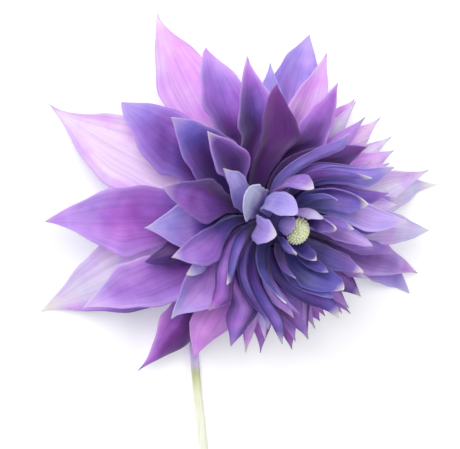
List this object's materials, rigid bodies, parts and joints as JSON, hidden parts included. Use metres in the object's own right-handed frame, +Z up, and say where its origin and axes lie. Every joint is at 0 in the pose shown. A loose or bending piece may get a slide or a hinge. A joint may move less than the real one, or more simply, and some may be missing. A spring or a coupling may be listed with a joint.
{
  "type": "anemone flower",
  "caption": "Picked double anemone: pointed violet petals in layers round a small green centre, lying face up, with a slender bare stem flat behind its bent neck.",
  "frame": {"origin": "on the surface that the flower lies on, under the middle of the whole flower's box", "axes": "+Z up from the surface, +Y along the stem from its cut end towards the bloom, +X to the side that the bloom's face leans to"},
  "size_m": [0.087, 0.142, 0.0408],
  "materials": {
    "pale_lilac": "soft matt petal",
    "lilac": "soft matt petal",
    "violet": "satin petal",
    "deep_violet": "satin petal",
    "stem_green": "downy green stem",
    "carpel_green": "matt pistils"
  },
  "bodies": {
    "root": {"stem": "stem_green", "carpels": "carpel_green", "guard_petal_01": "pale_lilac", "guard_petal_02": "pale_lilac", "guard_petal_03": "pale_lilac", "guard_petal_04": "pale_lilac", "guard_petal_05": "pale_lilac", "guard_petal_06": "pale_lilac", "guard_petal_07": "pale_lilac", "guard_petal_08": "pale_lilac", "guard_petal_09": "pale_lilac", "guard_petal_10": "pale_lilac", "outer_petal_01": "lilac", "outer_petal_02": "lilac", "outer_petal_03": "lilac", "outer_petal_04": "lilac", "outer_petal_05": "lilac", "outer_petal_06": "lilac", "outer_petal_07": "lilac", "outer_petal_08": "lilac", "outer_petal_09": "lilac", "outer_petal_10": "lilac", "outer_petal_11": "lilac", "broad_petal_01": "violet", "broad_petal_02": "violet", "broad_petal_03": "violet", "broad_petal_04": "violet", "broad_petal_05": "violet", "broad_petal_06": "violet", "broad_petal_07": "violet", "broad_petal_08": "violet", "broad_petal_09": "violet", "broad_petal_10": "violet", "middle_petal_01": "violet", "middle_petal_02": "violet", "middle_petal_03": "violet", "middle_petal_04": "violet", "middle_petal_05": "violet", "middle_petal_06": "violet", "middle_petal_07": "violet", "middle_petal_08": "violet", "middle_petal_09": "violet", "inner_petal_01": "deep_violet", "inner_petal_02": "deep_violet", "inner_petal_03": "deep_violet", "inner_petal_04": "deep_violet", "inner_petal_05": "deep_violet", "inner_petal_06": "deep_violet", "inner_petal_07": "deep_violet", "heart_petal_01": "deep_violet", "heart_petal_02": "deep_violet", "heart_petal_03": "deep_violet", "heart_petal_04": "deep_violet", "heart_petal_05": "deep_violet", "heart_petal_06": "deep_violet", "bud_petal_01": "deep_violet", "bud_petal_02": "deep_violet", "bud_petal_03": "deep_violet", "bud_petal_04": "deep_violet", "bud_petal_05": "deep_violet"}
  },
  "joints": []
}
